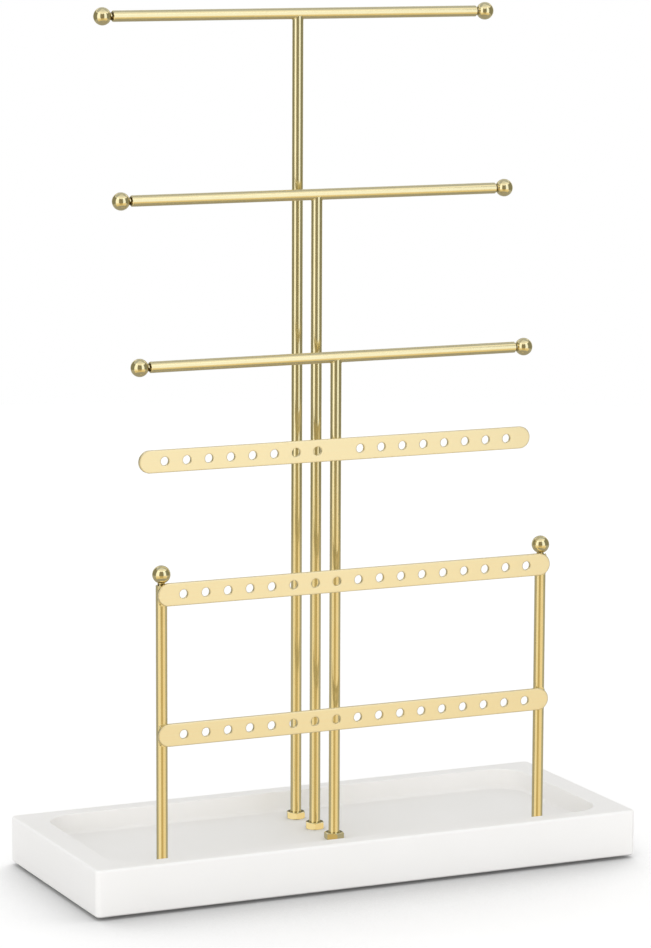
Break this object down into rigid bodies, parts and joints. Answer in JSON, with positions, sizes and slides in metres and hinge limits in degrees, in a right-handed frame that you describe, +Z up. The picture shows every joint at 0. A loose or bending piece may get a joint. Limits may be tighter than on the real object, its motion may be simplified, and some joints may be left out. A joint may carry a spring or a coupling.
{
  "type": "jewelry stand",
  "caption": "Free-standing jewelry stand: a white tray with a milled pocket, T-shaped necklace rails of rising height with ball ends, and flat perforated strips for earrings.",
  "frame": {"origin": "middle of the tray's footprint, on the surface that the pads rest on", "axes": "+Z up; +X to the right along the tray and its crossbars; the user's side is -Y, with the lowest strips"},
  "size_m": [0.265, 0.107, 0.3877],
  "materials": {
    "lacquer": "white satin lacquer",
    "rubber": "matte",
    "gold_plating": "polished gold-tone plating on steel",
    "satin_gold_plating": "satin pale gold-tone plating on steel",
    "zinc": "bright zinc plating"
  },
  "bodies": {
    "root": {"tray": "lacquer", "anti_slip_pads": "rubber", "tall_post": "gold_plating", "middle_post": "gold_plating", "short_post": "gold_plating", "frame_post_left": "gold_plating", "frame_post_right": "gold_plating", "top_crossbar": "gold_plating", "middle_crossbar": "gold_plating", "lower_crossbar": "gold_plating", "top_ball_left": "gold_plating", "top_ball_right": "gold_plating", "middle_ball_left": "gold_plating", "middle_ball_right": "gold_plating", "lower_ball_left": "gold_plating", "lower_ball_right": "gold_plating", "frame_ball_left": "gold_plating", "frame_ball_right": "gold_plating", "high_earring_strip": "satin_gold_plating", "upper_earring_strip": "satin_gold_plating", "lower_earring_strip": "satin_gold_plating", "foot_nuts": "gold_plating", "base_nuts": "zinc", "base_washers": "zinc"}
  },
  "joints": []
}
